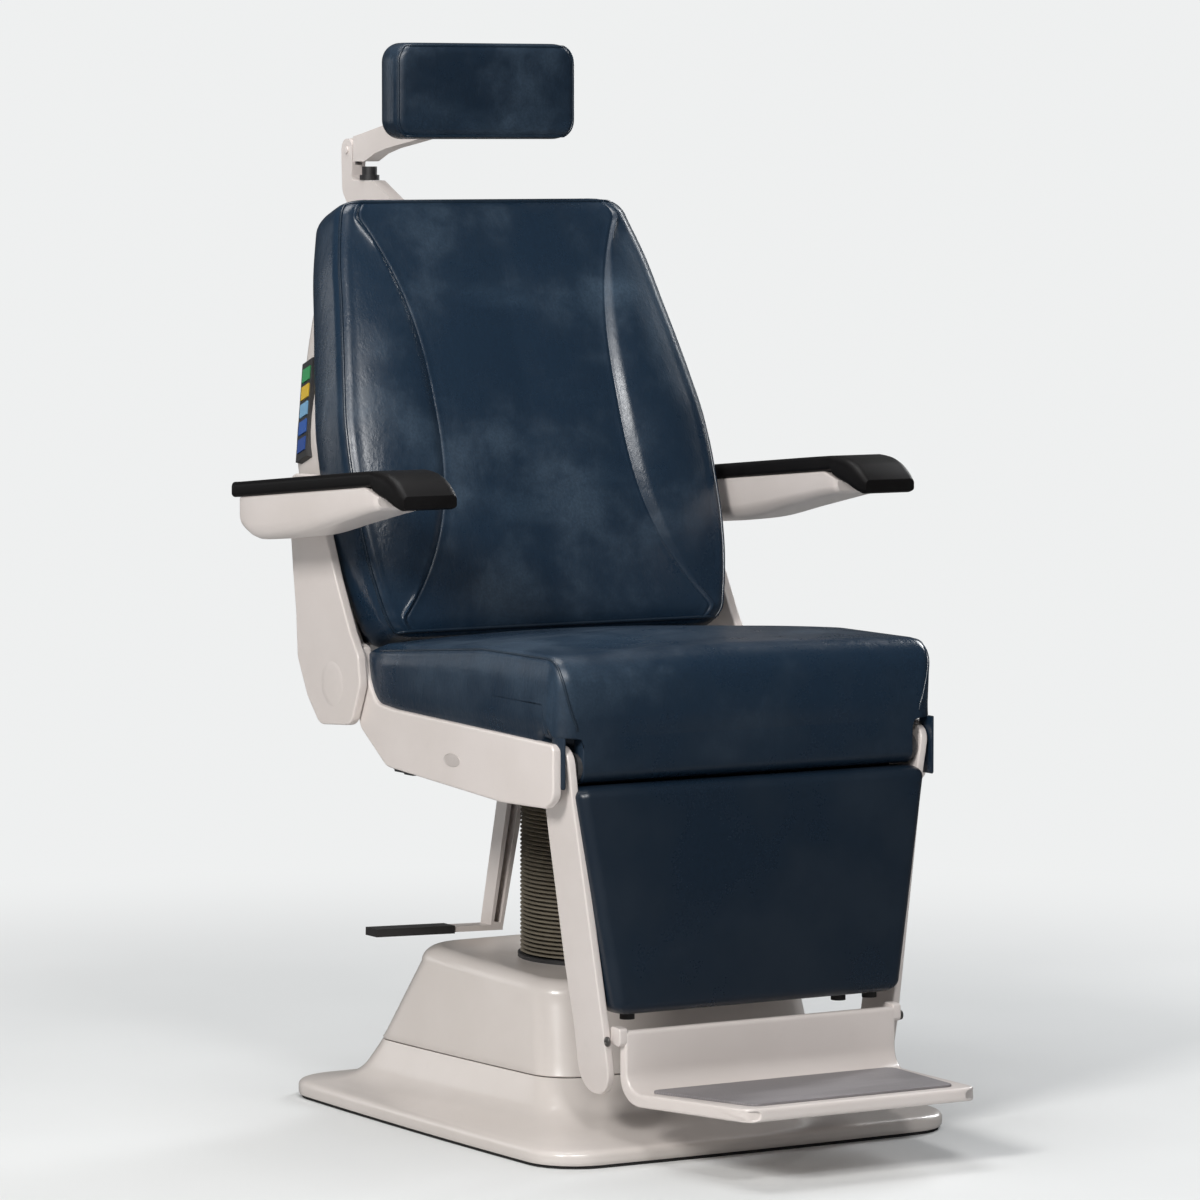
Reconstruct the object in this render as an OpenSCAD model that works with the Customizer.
// Examination chair on a lifting, swivelling column, with a reclining back and a linked leg rest.
// Origin on the floor at the middle of the base flange. +Z is up, the sitter faces -Y, their right is -X.

/* [Floor base] */
// Width of the floor flange, side to side
base_w = 575; // [540:5:620]
// Length of the floor flange, front to back
base_l = 680; // [640:1:720]
// Corner radius of the floor flange
base_corner_r = 60; // [45:5:90]
// Outward bow of each edge of the floor flange
base_bow = 6; // [0:1:12]
// Thickness of the rubber mat under the base
mat_t = 4; // [3:0.5:6]
// Height of the seam between the skirt and the cover
seam_z = 80; // [70:1:92]
// Height of the rear top edge of the base cover
cover_z = 208; // [202:1:214]
// Fall of the cover's top from its rear edge to the bellows
cover_fall = 15; // [8:1:18]
// Width of the base cover at the seam
seam_w = 412; // [390:2:440]
// Length of the base cover at the seam
seam_l = 424; // [410:2:450]
// Width of the base cover at its top
cover_top_w = 388; // [360:2:400]
// Length of the base cover at its top
cover_top_l = 322; // [316:2:330]
// Wall of the skirt and the cover
shell_t = 3; // [2:0.5:5]
// Thickness of the steel floor plate
plate_t = 12; // [8:1:16]

/* [Lift column] */
// Distance of the column axis behind the middle of the base
column_y = 28; // [24:1:34]
// Radius of the moving column tube
column_r = 55; // [48:1:58]
// Wall of both column tubes
column_wall = 6; // [4:1:8]
// Outer radius of the bellows
bellows_r = 104; // [98:1:108]
// Depth of one bellows fold
fold_d = 10; // [6:1:12]
// Number of bellows folds
fold_n = 36; // [24:1:44]
// Height of the swivel plane above the floor with the lift down
swivel_z = 404; // [396:1:410]
// Radius of the swivel spigot
spigot_r = 35; // [28:1:38]

/* [Seat] */
// Width of the seat cushion at its front top edge
seat_w = 524; // [516:1:540]
// Front face of the seat cushion, ahead of the base middle
seat_front = 313; // [308:1:320]
// Rear face of the seat cushion, behind the base middle
seat_rear = 138; // [130:1:140]
// Height of the seat's front top edge above the swivel plane
seat_top_up = 198; // [190:1:210]
// Fall of the seat top from front to rear
seat_fall = 17; // [10:1:22]
// Crown of the seat top between its sides
seat_crown = 9; // [4:1:14]
// Clear width between the seat's side covers
seat_inner_w = 520; // [518:1:524]
// Thickness of a seat side cover
side_t = 12; // [8:1:14]
// Length of a seat side cover
side_l = 471; // [465:1:476]
// Height of a seat side cover at its front
side_h = 79; // [74:1:84]

/* [Backrest] */
// Distance of the recline hinge behind the base middle
hinge_y = 208; // [204:1:214]
// Height of the recline hinge above the swivel plane
hinge_up = 128; // [124:1:132]
// Radius of the recline shaft
shaft_r = 12; // [10:1:14]
// Lean of the backrest from upright, in degrees
back_tilt = 20.3; // [18:0.1:22]
// Length of the back cushion along the back
back_l = 572; // [545:1:600]
// Greatest half width of the back cushion
back_half = 270; // [262:1:276]
// Depth of the side band of the back cushion
back_band = 71; // [64:1:76]
// Forward bulge of the back cushion at mid height
back_bulge = 14; // [8:1:20]
// Thickness of a back side support
support_t = 12; // [8:1:14]
// Height of a back side support above the hinge
support_h = 250; // [240:1:262]

/* [Arms] */
// Width of an arm pad
arm_w = 82; // [74:1:90]
// Length of an arm pad
arm_l = 430; // [410:1:440]
// Thickness of an arm pad at its rear
arm_pad_t = 19; // [15:1:24]
// Width of the arm body under the pad
arm_body_w = 78; // [64:1:80]
// Deepest height of the arm body
arm_body_h = 56; // [46:1:60]

/* [Leg rest] */
// Distance of the leg rest pivot ahead of the base middle
leg_y = 295; // [292:1:298]
// Height of the leg rest pivot above the swivel plane
leg_up = 67; // [65:1:69]
// Length of a leg arm from its pivot to its end
leg_l = 376; // [366:1:384]
// Thickness of a leg arm
leg_t = 10; // [8:1:12]
// Inward lean of each leg arm, in degrees
leg_lean = 7.4; // [6:0.1:8]
// Half width of the calf pad at its top
calf_top_half = 230; // [222:1:233]
// Half width of the calf pad at its bottom
calf_low_half = 195; // [186:1:197]
// Height of the calf pad
calf_h = 271; // [260:1:280]
// Thickness of the calf pad
calf_t = 40; // [32:1:46]

/* [Footplate] */
// Distance of the footplate pivot ahead of the base middle
foot_y = 325; // [321:1:328]
// Height of the footplate pivot above the floor
foot_z = 157.5; // [154:0.5:162]
// Front edge of the footplate, ahead of the base middle
foot_front = 560; // [530:1:590]
// Half width of the footplate at its wall
foot_half = 193; // [180:1:195]
// Half width of the footplate at its front
foot_front_half = 160; // [140:1:175]
// Thickness of the footplate
foot_t = 16; // [12:1:20]

/* [Headrest] */
// Width of the headrest pad
head_w = 256; // [240:1:280]
// Height of the headrest pad
head_h = 113; // [100:1:120]
// Thickness of the headrest pad
head_t = 62; // [50:1:70]
// Height of the headrest pad's middle above the floor
head_z = 1268; // [1266:1:1280]
// Front face of the headrest pad, behind the base middle
head_y = 313; // [310:1:330]

/* [Keypad] */
// Length of the keypad housing
pad_l = 134; // [128:1:140]
// Width of the keypad housing
pad_w = 30; // [28:1:34]
// Height of one key along the keypad
key_l = 18; // [14:1:20]
// Stroke of a key
key_stroke = 1.2; // [0.8:0.1:1.5]

/* [Brake lever] */
// Length of the lever bar from its upright
lever_l = 180; // [165:1:195]
// Drop of the lever upright from its pivot
lever_drop = 236; // [225:1:240]

/* [Hidden] */
$fn = 40;
// Finish colours
enamel = [0.87, 0.83, 0.81];
leather = [0.09, 0.16, 0.24];
black = [0.08, 0.08, 0.08];
steel = [0.62, 0.64, 0.66];
dark_steel = [0.30, 0.31, 0.33];
// Running clearance of a pin or shaft in its bore
run_gap = 0.05;
// Gap between parts that only lie near each other
seat_gap = 0.3;
// Overrun of every cut past the face that it leaves
over = 1;
// Points in each rounded corner of a plan ring, and along each side of it
arc_n = 6;
span_n = 5;

// Floor base
cover_shift_y = 29;
cover_top_shift_y = 3;
base_taper_share = 0.10;
edge_draw_share = 0.33;
cover_corner_r = 47;
cover_edge_r = 20;
bellows_z = cover_z - cover_fall;
seam_gap = 1.5;
hole_edge = 14;
column_hole_r = bellows_r - hole_edge;
plate_edge = 36;
// Way from the flange plan to the seam plan, and height from the mat to the seam
skirt_shares = [[0.012, 0], [0, 0.05], [0, 0.15], [0.03, 0.22], [0.27, 0.28], [0.52, 0.34],
    [0.66, 0.41], [0.77, 0.52], [0.88, 0.73], [1, 1]];

// Lift column
bush_wall = 5;
outer_r = column_r + bush_wall + column_wall;
outer_top_z = 330;
bush_h = 25;
bush_pitch = 45;
ram_r = 14;
cylinder_r = 25;
cylinder_top_z = 300;
inner_foot_gap = 14;
head_t_plate = 10;
head_z0 = swivel_z - head_t_plate;
ring_h = 5;
ring_lip = 3;
bellows_wall = 2;
bellows_seat_r = bellows_r + ring_lip + 3 * over;
motor_r = 38;
motor_x = 82;
motor_y = 148;
motor_h = 120;
tank_size = [80, 84, 105];
tank_at = [30, 112];
control_size = [150, 62, 48];
control_y = -142;
inlet_size = [46, 26, 26];
inlet_x = 90;
inlet_up = 20;
inlet_y = 0.35 * base_l;
inlet_pin_r = 3;

// Widths across the seat, from the covers inwards and outwards
cover_in = seat_inner_w / 2;
cover_out = cover_in + side_t;
support_gap = 1.5;
support_in = cover_out + support_gap;
support_out = support_in + support_t;
link_gap = 3.5;
link_t = 5;
link_out = cover_in - link_gap;
link_in = link_out - link_t;
leg_gap = 1;
leg_out = link_in - leg_gap;
ear_t = 6;
ear_out = leg_out - leg_t - leg_gap;
ear_in = ear_out - ear_t;
arm_gap = 2.5;
arm_in = support_out + arm_gap;

// Hinges of the linkage
hinge_z = swivel_z + hinge_up;
leg_z = swivel_z + leg_up;
crank_r = 38;
crank_rest = -60;
link_pin_r = 6;
link_eye_r = 11;
link_h = 12;
link_relief = 1.6;
link_slack = 1;
link_angle = atan2(hinge_z - leg_z, hinge_y + leg_y);
link_l = norm([hinge_z - leg_z, hinge_y + leg_y]);

// Seat frame
rail_up = 23;
rail_w = 25;
rail_h = 70;
rail_x = 178;
rail_front = 260;
rail_rear = 132;
cross_l = 26;
// Places of the standoffs that carry the side covers: along Y, and up from the swivel plane
standoffs = [[-215, 66], [50, 26]];
standoff_l = 22;
cover_screw_r = 3;
badge_pin_r = 1.5;
badge_y = 69;
badge_up = 57;
cross_h = 28;
rear_cross_h = 25;
hub_r = 60;
hub_h = 40;
hub_plate_t = 9;
board_t = 12;
board_edge = 22;
seat_under_up = rail_up + rail_h + board_t;
seat_edge_r = 26;
apron_t = 32;
apron_up = 48;
waterfall_r = 52;
seat_radii = [6, 24, 300, waterfall_r, 200, 16, 15, 6, 4];
leg_pin_r = 10;
ear_r = 19;
front_ear_r = 17;
front_ear_l = 44;
ear_radii = [4, 20, 8, ear_r, ear_r, 14, 4];
front_ear_step = 18;
front_ear_radii = [6, 6, 12, front_ear_r, front_ear_r, 3];
seat_pipe = 1.8;
seat_pipe_share = 0.88;
seat_end_share = 0.7;
// Share of the easing that each corner of the seat's outline takes towards its ends
seat_ease_shares = [0.3, 1, 1, 1, 1, 0.8, 0.5, 0, 0];
seat_waist = 0.085;
seat_rear_waist = 0.03;
apron_half = 232.5;
apron_cut_up = 102;
apron_squeeze = 0.8;
// Triangles between the front and the under side of the seat's outline, which close each end
seat_caps = [[27, 28, 29], [27, 29, 26], [26, 29, 30], [26, 30, 25], [25, 30, 31], [25, 31, 24],
    [24, 31, 23], [23, 31, 32], [23, 32, 22], [22, 32, 33], [22, 33, 21], [21, 33, 34],
    [21, 34, 20], [20, 34, 35], [20, 35, 19], [19, 35, 18], [18, 35, 17], [17, 35, 16],
    [16, 35, 15], [15, 35, 14], [14, 35, 13], [13, 35, 12], [12, 35, 11], [11, 35, 10],
    [10, 35, 9], [9, 35, 8], [8, 35, 0], [8, 0, 7], [7, 0, 1], [7, 1, 6], [6, 1, 2], [6, 2, 5],
    [5, 2, 3], [5, 3, 4]];
pan_t = 3;
pan_front = 210;
pan_rear = 60;

// Outline of a seat side cover: shares of its length from the front, and of its height from below
side_shares = [[0, 1], [0, 0.19], [0.042, 0.03], [0.26, 0], [0.856, 0.215], [1, 0.772],
    [1.02, 1.50], [1.01, 2.08], [0.98, 2.02], [0.955, 1.55], [0.91, 1.18], [0.82, 1.13]];
side_up = 17;
side_front = 308;
side_radii = [10, 18, 14, 60, 26, 20, 12, 3, 3, 30, 20, 30];
side_edge = 2.5;

// Recline actuator
crank_h = 60;
crank_back = 30;
crank_half = 17;
crank_t = 8;
crank_x = 10;
crank_tip = 84;
slot_half = 7.7;
slot_in = 53;
slot_out = 76;
rod_r = 9;
rod_pin_r = 6;
rod_z = hinge_z - crank_h;
rod_rest_y = hinge_y + crank_h * tan(crank_back);
tube_r = 18;
tube_front = 175;
tube_rear = 20;
rod_front = 90;
gearbox_l = 46;
drive_r = 23;
drive_x = 52;
drive_l = 110;

// Backrest, in its own frame: x across, y to the rear of the hinge, z up along the back
cushion_u0 = 30;
chord_n = -100;
back_rear_n = chord_n + back_band;
back_edge_r = 20;
// Half width of the back cushion along its height, as shares of its length and of its half width
back_shares = [[0, 0.905], [0.10, 0.958], [0.19, 0.988], [0.28, 1], [0.37, 1], [0.47, 0.99],
    [0.565, 0.96], [0.66, 0.925], [0.75, 0.89], [0.845, 0.855], [0.945, 0.80], [1, 0.765]];
// Wing seam: its narrowest place, its half width there, and its gain up to each end
seam_mid_share = 0.495;
seam_half_share = 0.497;
seam_top_share = 0.262;
seam_low_share = 0.405;
seam_power = 2.6;
wing_rise = 5;
seam_groove = 3.5;
back_board_t = 12;
board_n = 14;
board_inset = 16;
shell_half = back_half - board_inset / 2;
frame_n = back_rear_n + back_board_t;
shell_u0 = 40;
shell_l = 552;
upright_x = 150;
upright_w = 30;
upright_t = 18;
upright_share = 0.8786;
upright_top = shell_u0 + upright_share * shell_l;
bar_h = 30;
bar_low_u = 150;
bar_high_u = upright_top - 1.17 * bar_h;
guide_w = 10;
guide_wall = 3;
guide_low_u = 400;
crank_bar_r = 20;
post_w = 40;
post_t = 12;
post_n = 45;
post_low_u = 400;
// Shell behind the back: shares of the back's length and of its half width
shell_shares = [[0, 0.955], [0.06, 0.98], [0.22, 1], [0.45, 1], [0.70, 0.86],
    [0.87, 0.73], [0.97, 0.63], [1, 0.58]];
shell_end_shares = [[0, 0.30], [0.03, 0.12], [0.08, 0], [0.92, 0], [0.97, 0.10], [1, 0.28]];
shell_outer_shares = [0, 0.03, 0.08, 0.22, 0.34, 0.45, 0.58, 0.70, 0.79, 0.87, 0.92, 0.97, 1];
shell_inner_shares = [0, 0.08, 0.22, 0.45, 0.58, 0.70, 0.87, 0.92, 1];
shell_rear_n = 50;
shell_bow = 14;
shell_corner_r = 24;
// Outline of a back side support about the hinge, in shares of its height
support_shares = [[-0.284, 0.016], [-0.188, -0.192], [0.14, -0.214], [0.268, -0.08],
    [0.37, 0.108], [0.385, 0.34], [0.415, 0.536], [0.435, 0.708], [0.475, 0.97], [0.40, 1.03],
    [0.18, 1.03], [0.08, 0.772], [-0.036, 0.524], [-0.18, 0.272], [-0.264, 0.156]];
support_round = 22;

// Keypad on the right side of the shell
pad_u = 360;
pad_n = -8;
pad_t = 9;
pad_half_l = pad_l / 2;
pad_low_x = shell_half * read_at(shell_shares, (pad_u - pad_half_l - shell_u0) / shell_l);
pad_high_x = shell_half * read_at(shell_shares, (pad_u + pad_half_l - shell_u0) / shell_l);
pad_lean = atan2(pad_low_x - pad_high_x, pad_l);
// Most that the shell's side stands out past the line under the keypad
pad_bulge = max([for (i = [0:6]) shell_half * read_at(shell_shares,
    (pad_u + (i / 3 - 1) * pad_half_l - shell_u0) / shell_l) - mix(pad_low_x, pad_high_x, i / 6)]);
pad_face_x = (pad_low_x + pad_high_x) / 2 + pad_bulge + pad_t / cos(pad_lean) + 2 * seat_gap;
key_t = 4;
key_gap = 0.4;
key_rim = 5;
key_w = pad_w - 2 * key_rim;
key_pitch = 24;
key_sink = 2.6;
key_n = 5;

// Arms
arm_pivot_shares = [0.196, 0.84];
arm_pivot_y = hinge_y + arm_pivot_shares[0] * support_h;
arm_pivot_z = hinge_z + arm_pivot_shares[1] * support_h;
arm_pin_r = 8;
arm_rear_y = 321;
arm_under_up = 23;
arm_under_z = arm_pivot_z + arm_under_up;
arm_rise_share = 0.079;
// Arm pad along its length: station, height over the rising line, thickness and width
pad_shares = [[0, 0.02, 0.72, 0.90], [0.015, 0, 1, 0.98], [0.30, 0, 1, 1], [0.65, 0, 1.02, 1],
    [0.84, -0.02, 1.22, 1], [0.90, -0.20, 1.42, 1], [0.945, -0.62, 1.42, 0.99],
    [0.98, -1.25, 1.15, 0.95], [1, -1.75, 0.55, 0.88]];
// Arm body along the pad: station, depth, width and drop of its top under the pad's nose
body_shares = [[0.035, 0.46, 0.86, 0], [0.055, 0.72, 0.96, 0], [0.145, 0.98, 1, 0], [0.34, 0.96, 1, 0],
    [0.60, 0.76, 1, 0], [0.82, 0.56, 1, 0], [0.86, 0.53, 0.99, 0.30], [0.885, 0.51, 0.97, 0.55],
    [0.905, 0.46, 0.90, 0.78]];
arm_corner_share = 0.36;
pad_drop_share = 0.85;
pin_share = 0.7;
boss_r = 16.5;
arm_body_gap = (arm_w - arm_body_w) / 2 - seat_gap;

// Leg rest
// Outline of a leg arm about its pivot, in shares of its length
leg_shares = [[-0.068, 0.068], [-0.068, -0.096], [-0.130, -0.854], [-0.130, -1], [0.050, -1],
    [0.053, -0.80], [0.088, -0.625], [0.122, -0.22], [0.125, -0.125], [0.068, -0.02], [0.068, 0.068]];
leg_radii = [25, 60, 30, 32, 32, 30, 100, 60, 30, 40, 25];
leg_face_x = leg_out + (crank_r * sin(-crank_rest) - link_eye_r) * tan(leg_lean);
calf_top_drop = 22;
calf_front = 322;
calf_lean = 4;
calf_corner_r = 14;
calf_crown = 6;
calf_end_share = 0.8;
calf_board_shares = [0.02, 0.98];
calf_board_t = 10;
calf_board_edge = 8;
cross_bar_t = 8;
cross_bar_h = 30;
cross_bar_drops = [70, 235];
bumper_r = 9;
bumper_t = 8;
bumper_x = 172;

// Footplate
wall_front = 340;
wall_t = 12;
foot_top_z = 87;
foot_lean = 2;
foot_corner_r = 26;
lug_r = 15;
lug_t = 9;
foot_screw_r = 6;
foot_mat_t = 3;
foot_mat_edge = 20;

// Headrest
elbow_y = 670;
// Outline of the curved headrest arm, as shares of the way from the pad's joint to the elbow
neck_shares = [[-0.045, 0.16], [0.04, 0.48], [0.20, 0.76], [0.40, 0.865], [0.60, 0.965], [0.72, 1.06],
    [0.82, 1.20], [1.055, 1.20], [1.055, 0.83], [0.86, 0.72], [0.62, 0.56], [0.34, 0.34], [0.10, -0.16],
    [-0.045, -0.16]];
neck_radii = [12, 20, 60, 80, 60, 30, 20, 15, 12, 60, 80, 60, 30, 12];
elbow_z = 1193;
elbow_r = 15;
elbow_pin_r = 5;
fork_half = 10;
tongue_half = 5;
neck_half = 11;
neck_r = 19;
joint_ear_t = 4;
head_joint_gap = 20;
head_joint_y = head_y + head_t + head_joint_gap;
head_plate_t = 6;
head_slot_half = 25;
head_edge_r = 24;
head_radii = [10, 14, head_edge_r, 200, head_edge_r];
head_plate_edge = 22;
// Casting on the headrest post, from the top of the post to the elbow
foot_low_z = 1098;
foot_web_z = 1153;
column_rear_y = 683;
column_front_y = 658;
web_apex_y = 602;
foot_top_y = 488;
foot_end_y = 470;
web_radii = [4, 30, 60, 16, 20, 8, elbow_r, elbow_r, 8, 6, 14, 30, 6];
knob_y = 626;
knob_r = 13;
knob_grip_r = 10;
knob_disc_h = 7;
knob_h = 18;
post_top_u = (foot_low_z - hinge_z) / cos(back_tilt) + post_w / 2;

// Brake lever
lever_w = 26;
lever_x = 48;
lever_lean = 10;
lever_t = 18;
lever_pivot_up = 36;
lever_pin_r = 6;
bar_t = 7;
grip_l = 110;
grip_t = 10;
bracket_t = 8;
lever_wall = 4;
lever_rise = 1.5;
lever_bar_x = -lever_x - lever_drop * sin(lever_lean) + lever_t / 2;
lever_bar_z = swivel_z + lever_pivot_up + lever_w / 2 - lever_drop * cos(lever_lean);

// Point between two others, and a value read off a table of rising stations
function mix(a, b, t) = a + (b - a) * t;
function read_at(table, t, col = 1, i = 0) =
    i >= len(table) - 2 || t <= table[i + 1][0]
    ? mix(table[i][col], table[i + 1][col],
        min(1, max(0, (t - table[i][0]) / (table[i + 1][0] - table[i][0]))))
    : read_at(table, t, col, i + 1);
function unit(v) = v / norm(v);
function side(x) = x < 0 ? -1 : 1;

// Rounded corner of an outline, and an outline with every corner rounded
function bend(a, p, b, r, n) =
    let (u = unit(a - p), v = unit(b - p), straight = norm(u + v) < 0.01,
        half = straight ? 45 : acos(max(-1, min(1, u * v))) / 2,
        reach = min(r / tan(half), norm(a - p) * 0.48, norm(b - p) * 0.48),
        rr = reach * tan(half), c = p + (straight ? u : unit(u + v)) * rr / sin(half),
        s = p + u * reach - c, e = p + v * reach - c,
        a0 = atan2(s[1], s[0]), turn = atan2(e[1], e[0]) - a0,
        sweep = turn > 180 ? turn - 360 : turn < -180 ? turn + 360 : turn)
    [for (i = [0:n]) straight ? mix(p + u * reach / 4, p + v * reach / 4, i / n)
        : c + rr * [cos(a0 + sweep * i / n), sin(a0 + sweep * i / n)]];
function soften(pts, radii, n = 4) = [for (i = [0:len(pts) - 1])
    each bend(pts[(i + len(pts) - 1) % len(pts)], pts[i], pts[(i + 1) % len(pts)],
        is_list(radii) ? radii[i] : radii, n)];
// Outline moved inwards by d, for an outline that runs anticlockwise
function draw_in(pts, d) = [for (i = [0:len(pts) - 1])
    let (t = unit(pts[(i + 1) % len(pts)] - pts[(i + len(pts) - 1) % len(pts)]))
    pts[i] + d * [-t[1], t[0]]];

// Plan ring with round corners and bowed sides, tapered from rear to front
function plan_ring(w, l, r, bow, yc, z, taper = 0) =
    let (cx = w / 2 - r, cy = l / 2 - r,
        corners = [[cx, cy], [-cx, cy], [-cx, -cy], [cx, -cy]],
        flat = [for (k = [0:3], j = [0:arc_n + span_n - 1])
            let (a = 90 * k + 90 * min(j, arc_n) / arc_n,
                here = corners[k] + r * [cos(a), sin(a)],
                next = corners[(k + 1) % 4] + r * [cos(a), sin(a)])
            j <= arc_n ? here : mix(here, next, (j - arc_n) / span_n)])
    [for (p = flat)
        let (sx = 2 * p[0] / w, sy = 2 * p[1] / l)
        [(p[0] + bow * sx * (1 - sy * sy)) * (1 + taper * sy / 2),
            p[1] + bow * sy * (1 - sx * sx) + yc, z]];
// Ring of a plan drawn onto a circle about the column
function round_ring(ring, r, z) = [for (p = ring)
    let (d = unit([p[0], p[1] - column_y])) [d[0] * r, column_y + d[1] * r, z]];

function middle(ring) = [for (k = [0:2]) [for (p = ring) p[k]] * [for (p = ring) 1]] / len(ring);

// Solid through a stack of rings, each anticlockwise about the way the stack goes. Its ends are
// flat faces, fans about their middles, or the triangles of caps, or the last ring joins on to the first.
module loft(rings, closed = false, fan = false, caps = []) {
    n = len(rings[0]);
    m = len(rings);
    walls = [for (j = [0:m - (closed ? 1 : 2)], i = [0:n - 1])
        let (a = j * n + i, b = j * n + (i + 1) % n,
            c = ((j + 1) % m) * n + (i + 1) % n, d = ((j + 1) % m) * n + i)
        each [[a, d, c], [a, c, b]]];
    flats = [[for (i = [0:n - 1]) i], [for (i = [n - 1:-1:0]) (m - 1) * n + i]];
    fans = [for (i = [0:n - 1]) each [[m * n, i, (i + 1) % n],
        [m * n + 1, (m - 1) * n + (i + 1) % n, (m - 1) * n + i]]];
    points = [for (r = rings) each r];
    ends = [middle(rings[0]), middle(rings[m - 1])];
    both = [for (t = caps) each [t, [for (k = [2:-1:0]) (m - 1) * n + t[k]]]];
    polyhedron(concat(points, fan ? ends : []),
        concat(walls, closed ? [] : fan ? fans : len(caps) > 0 ? both : flats),
        convexity = 8);
}
// Flat plate with its outline in the Y and Z directions, from x0 towards +X
module slab(pts, x0, t) {
    translate([x0, 0, 0]) rotate([90, 0, 90]) linear_extrude(t) polygon(pts);
}
// The same plate with eased edges
module eased_slab(pts, x0, t, e) {
    steps = [[0, e], [0.3 * e, 0.3 * e], [e, 0], [t - e, 0], [t - 0.3 * e, 0.3 * e], [t, e]];
    loft([for (s = steps) [for (p = draw_in(pts, s[1])) [x0 + s[0], p[0], p[1]]]]);
}
// Rod along X, Y or Z
module rod_x(r, x0, x1, y, z) {
    translate([x0, y, z]) rotate([0, 90, 0]) cylinder(r = r, h = x1 - x0);
}
module rod_y(r, y0, y1, x, z) {
    translate([x, y0, z]) rotate([-90, 0, 0]) cylinder(r = r, h = y1 - y0);
}
// Block between two corners
module block(a, b) {
    translate(a) cube(b - a);
}
module on_left() {
    mirror([1, 0, 0]) children();
}
module on_both() {
    children();
    on_left() children();
}
// Frame of the reclined back, with its origin on the hinge
module on_back() {
    translate([0, hinge_y, hinge_z]) rotate([-back_tilt, 0, 0]) children();
}

// Floor base
function flange_ring(share, z, inset = 0) = plan_ring(mix(base_w, seam_w, share) - 2 * inset,
    mix(base_l, seam_l, share) - 2 * inset, mix(base_corner_r, cover_corner_r, share),
    mix(base_bow, base_bow / 2, share), cover_shift_y * share, z, base_taper_share * share);
function cover_ring(share, z, inset = 0) =
    let (l = mix(seam_l, cover_top_l, share) - 2 * inset, yc = mix(cover_shift_y, cover_top_shift_y, share))
    [for (p = plan_ring(mix(seam_w, cover_top_w, share) - 2 * inset, l,
        cover_corner_r - inset * edge_draw_share, base_bow / 2, yc, z, base_taper_share))
        [p[0], p[1], p[2] - share * cover_fall * (0.5 - (p[1] - yc) / l)]];

module base_mat() {
    color(black) linear_extrude(mat_t)
        polygon([for (p = flange_ring(0, 0, shell_t)) [p[0], p[1]]]);
}
module base_plate() {
    color(dark_steel) translate([0, 0, mat_t]) linear_extrude(plate_t)
        polygon([for (p = plan_ring(base_w - 2 * plate_edge, base_l - 2 * plate_edge,
            base_corner_r, 0, 0, 0)) [p[0], p[1]]]);
}
module base_skirt() {
    height = seam_z - mat_t;
    outer = [for (s = skirt_shares) flange_ring(s[0], mat_t + s[1] * height)];
    inner = [for (i = [len(skirt_shares) - 1:-1:0])
        let (s = skirt_shares[i])
        flange_ring(s[0], max(mat_t, mat_t + s[1] * height - (s[1] == 1 ? 0 : shell_t)), shell_t)];
    color(enamel) difference() {
        loft(concat(outer, [for (i = [0:len(inner) - 4]) inner[i]], [inner[len(inner) - 1]]), true);
        inlet_block(seat_gap);
    }
}
module base_cover() {
    low = seam_z + seam_gap;
    knee = cover_z - cover_edge_r;
    turn = [for (a = [15:25:90]) [cover_edge_r * (1 - cos(a)), cover_edge_r * sin(a)]];
    outer = concat([cover_ring(0, low), cover_ring(0.5, mix(low, knee, 0.5)), cover_ring(1, knee)],
        [for (t = turn) cover_ring(1, knee + t[1], t[0])]);
    top_ring = cover_ring(1, cover_z, cover_edge_r);
    hole = [for (q = [[bellows_seat_r, 0], [column_hole_r, 0], [column_hole_r, shell_t], [bellows_seat_r, shell_t]])
        round_ring(top_ring, q[0], bellows_z - q[1])];
    inner = [cover_ring(1, cover_z - shell_t, cover_edge_r), cover_ring(1, knee, shell_t),
        cover_ring(0, low, shell_t)];
    color(enamel) loft(concat(outer, [top_ring], hole, inner), true);
}
module column_outer() {
    foot_z0 = mat_t + plate_t;
    color(dark_steel) translate([0, column_y, 0]) difference() {
        union() {
            translate([0, 0, foot_z0]) cylinder(r = outer_r, h = outer_top_z - foot_z0);
            translate([0, 0, foot_z0]) cylinder(r = outer_r + 2 * column_wall, h = column_wall);
        }
        translate([0, 0, foot_z0 - over])
            cylinder(r = outer_r - column_wall, h = outer_top_z - foot_z0 + 2 * over);
    }
}
module guide_bushes() {
    color("whitesmoke") translate([0, column_y, 0]) for (k = [0, 1])
        translate([0, 0, outer_top_z - bush_h - k * bush_pitch]) difference() {
            cylinder(r = outer_r - column_wall - run_gap, h = bush_h);
            translate([0, 0, -over]) cylinder(r = column_r + run_gap, h = bush_h + 2 * over);
        }
}
module column_inner() {
    z0 = mat_t + plate_t + inner_foot_gap;
    color(steel) translate([0, column_y, z0]) difference() {
        cylinder(r = column_r, h = head_z0 - z0);
        translate([0, 0, -over]) cylinder(r = column_r - column_wall, h = head_z0 - z0 + 2 * over);
    }
}
module lift_cylinder() {
    z0 = mat_t + plate_t;
    color(dark_steel) translate([0, column_y, z0]) difference() {
        cylinder(r = cylinder_r, h = cylinder_top_z - z0);
        translate([0, 0, column_wall]) cylinder(r = ram_r + run_gap, h = cylinder_top_z);
    }
}
module lift_ram() {
    z0 = mat_t + plate_t + 2 * column_wall;
    color("silver") translate([0, column_y, z0]) cylinder(r = ram_r, h = head_z0 - z0);
}
module lift_head() {
    color(steel) translate([0, column_y, head_z0]) {
        cylinder(r = bellows_r + ring_lip, h = head_t_plate);
        cylinder(r = spigot_r, h = head_t_plate + hub_h + ring_lip);
    }
}
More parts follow.
